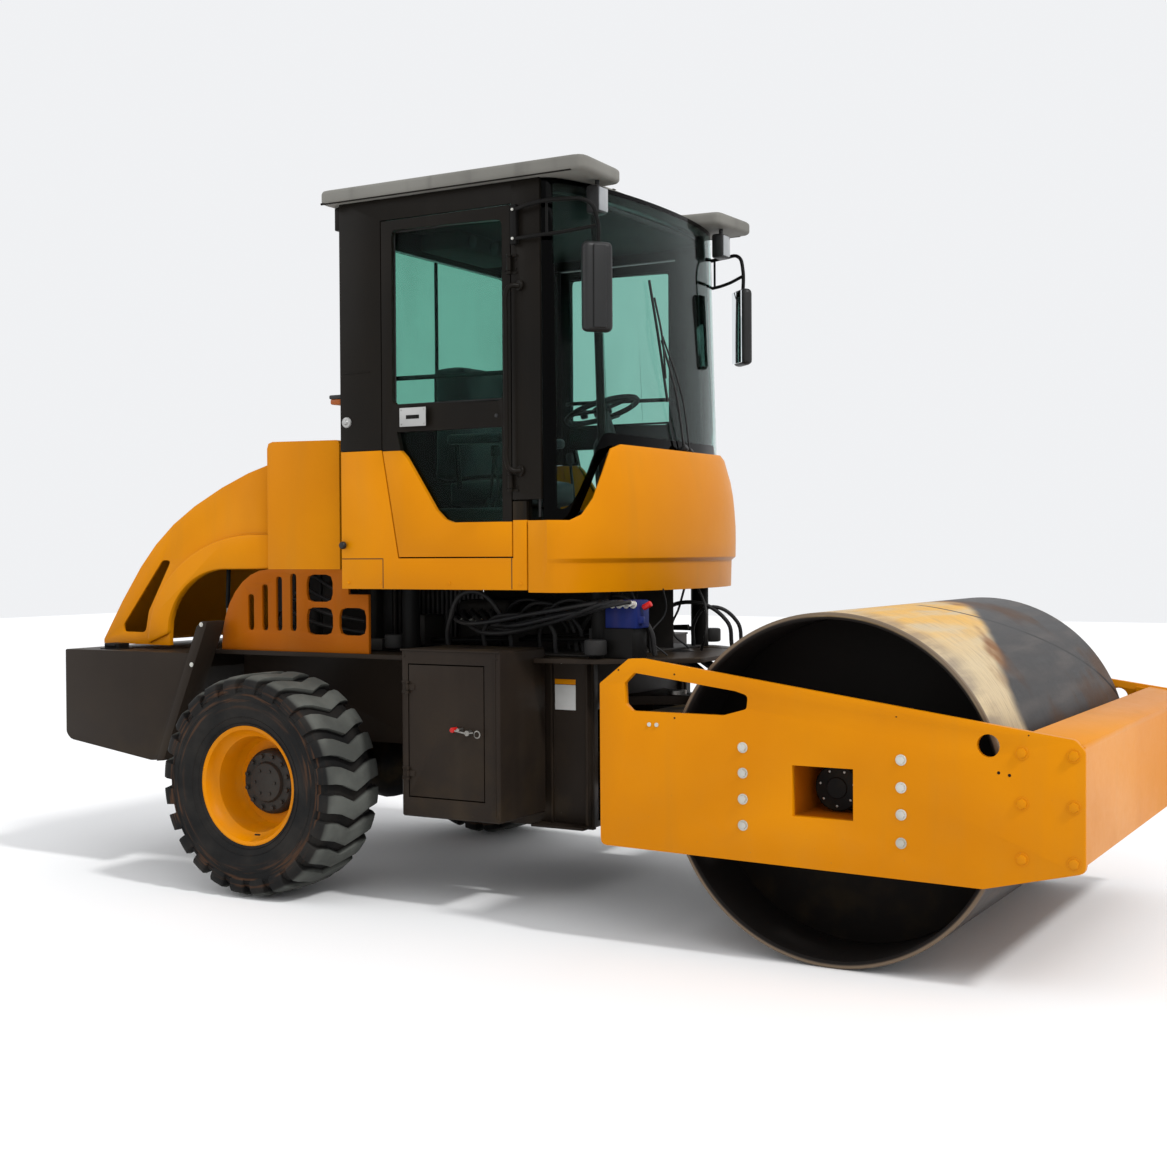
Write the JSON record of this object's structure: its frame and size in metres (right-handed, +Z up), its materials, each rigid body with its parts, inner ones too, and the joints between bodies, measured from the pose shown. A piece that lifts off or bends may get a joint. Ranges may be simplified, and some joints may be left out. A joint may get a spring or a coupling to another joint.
{
  "type": "single-drum road roller",
  "caption": "Ride-on single-drum road roller with smooth steel drum, articulated steering, glazed cab, tilting engine hood and driven rear tyres.",
  "frame": {"origin": "on the ground under the middle of the machine's bounding box", "axes": "+X the way it drives drum first, +Y its left side, +Z up"},
  "size_m": [5.423, 2.41, 3.3843],
  "materials": {
    "yellow_paint": "gloss",
    "orange_paint": "satin",
    "rim_paint": "gloss",
    "brown_paint": "satin",
    "cab_paint": "satin",
    "black_paint": "satin",
    "roof_paint": "weathered satin",
    "glass": "clear",
    "drum_steel": "worn",
    "engine_iron": "rough",
    "rod_chrome": "polished",
    "tyre_rubber": "dusty",
    "black_plastic": "matte",
    "seat_cover": "matte"
  },
  "bodies": {
    "rear_frame": {"rear_frame": "black_paint", "hitch_pin": "drum_steel", "rear_axle": "black_paint", "rear_tank": "brown_paint", "engine": "engine_iron", "hood_cowl": "yellow_paint", "right_grille": "orange_paint", "left_grille": "orange_paint", "right_toolbox": "brown_paint", "left_toolbox": "brown_paint", "cab_floor": "black_paint", "cab_frame": "cab_paint", "cab_roof": "roof_paint", "nose_panel": "yellow_paint", "windshield": "glass", "right_quarter_glass": "glass", "left_quarter_glass": "glass", "rear_glass": "glass", "right_side_panel": "yellow_paint", "left_side_panel": "yellow_paint", "seat_base": "black_plastic", "seat_cushion": "seat_cover", "seat_back": "seat_cover", "steering_console": "black_plastic", "steering_wheel": "black_plastic", "right_mirror": "black_plastic", "left_mirror": "black_plastic"},
    "drum_frame": {"right_side_plate": "yellow_paint", "left_side_plate": "yellow_paint", "front_beam": "yellow_paint", "rear_beam": "yellow_paint", "right_hub_support": "orange_paint", "left_hub_support": "orange_paint"},
    "drum": {"drum_shell": "drum_steel", "right_drum_head": "black_paint", "left_drum_head": "black_paint"},
    "hood": {"engine_hood": "yellow_paint"},
    "right_wheel": {"right_tyre": "tyre_rubber", "right_rim": "rim_paint"},
    "right_door": {"right_door_frame": "cab_paint", "right_door_panel": "yellow_paint", "right_door_glass": "glass"},
    "right_box_door": {"right_toolbox_door": "brown_paint"},
    "right_barrel": {"right_cylinder": "black_paint"},
    "right_rod": {"right_cylinder_rod": "rod_chrome"},
    "left_wheel": {"left_tyre": "tyre_rubber", "left_rim": "rim_paint"},
    "left_door": {"left_door_frame": "cab_paint", "left_door_panel": "yellow_paint", "left_door_glass": "glass"},
    "left_box_door": {"left_toolbox_door": "brown_paint"},
    "left_barrel": {"left_cylinder": "black_paint"},
    "left_rod": {"left_cylinder_rod": "rod_chrome"}
  },
  "joints": [
    {"name": "articulation_steer", "type": "hinge", "parent": "rear_frame", "child": "drum_frame", "pos_m": [0.5085, 0, 0.64], "axis": [0, 0, 1], "range_deg": [-33, 33]},
    {"name": "drum_spin", "type": "hinge", "parent": "drum_frame", "child": "drum", "pos_m": [1.7085, 0, 0.7], "axis": [0, 1, 0], "continuous": true},
    {"name": "hood_tilt", "type": "hinge", "parent": "rear_frame", "child": "hood", "pos_m": [-1.4335, 0, 2.12], "axis": [0, 1, 0], "range_deg": [0, 45]},
    {"name": "right_wheel_spin", "type": "hinge", "parent": "rear_frame", "child": "right_wheel", "pos_m": [-1.2015, -1, 0.535], "axis": [0, 1, 0], "continuous": true},
    {"name": "right_door_swing", "type": "hinge", "parent": "rear_frame", "child": "right_door", "pos_m": [0.1055, -0.864, 2.4], "axis": [0, 0, 1], "range_deg": [0, 85]},
    {"name": "right_box_door_swing", "type": "hinge", "parent": "rear_frame", "child": "right_box_door", "pos_m": [-0.4065, -0.96, 0.82], "axis": [0, 0, -1], "range_deg": [0, 100]},
    {"name": "right_cylinder_swing", "type": "hinge", "parent": "rear_frame", "child": "right_barrel", "pos_m": [-0.2915, -0.22, 0.64], "axis": [0, 0, 1], "range_deg": [-6.5, 6.5]},
    {"name": "right_rod_slide", "type": "slide", "parent": "right_barrel", "child": "right_rod", "axis": [0.9918, -0.128, 0], "range_m": [-0.19, 0.19]},
    {"name": "left_wheel_spin", "type": "hinge", "parent": "rear_frame", "child": "left_wheel", "pos_m": [-1.2015, 1, 0.535], "axis": [0, 1, 0], "continuous": true},
    {"name": "left_door_swing", "type": "hinge", "parent": "rear_frame", "child": "left_door", "pos_m": [0.1055, 0.864, 2.4], "axis": [0, 0, -1], "range_deg": [0, 85]},
    {"name": "left_box_door_swing", "type": "hinge", "parent": "rear_frame", "child": "left_box_door", "pos_m": [-0.4065, 0.96, 0.82], "axis": [0, 0, 1], "range_deg": [0, 100]},
    {"name": "left_cylinder_swing", "type": "hinge", "parent": "rear_frame", "child": "left_barrel", "pos_m": [-0.2915, 0.22, 0.64], "axis": [0, 0, 1], "range_deg": [-6.5, 6.5]},
    {"name": "left_rod_slide", "type": "slide", "parent": "left_barrel", "child": "left_rod", "axis": [0.9918, 0.128, 0], "range_m": [-0.19, 0.19]}
  ],
  "couplings": [
    {"joint": "right_cylinder_swing", "follows": "articulation_steer", "ratio": 0.1727},
    {"joint": "right_rod_slide", "follows": "articulation_steer", "m_per_rad": 0.3144},
    {"joint": "left_cylinder_swing", "follows": "articulation_steer", "ratio": 0.1727},
    {"joint": "left_rod_slide", "follows": "articulation_steer", "m_per_rad": -0.3144}
  ]
}
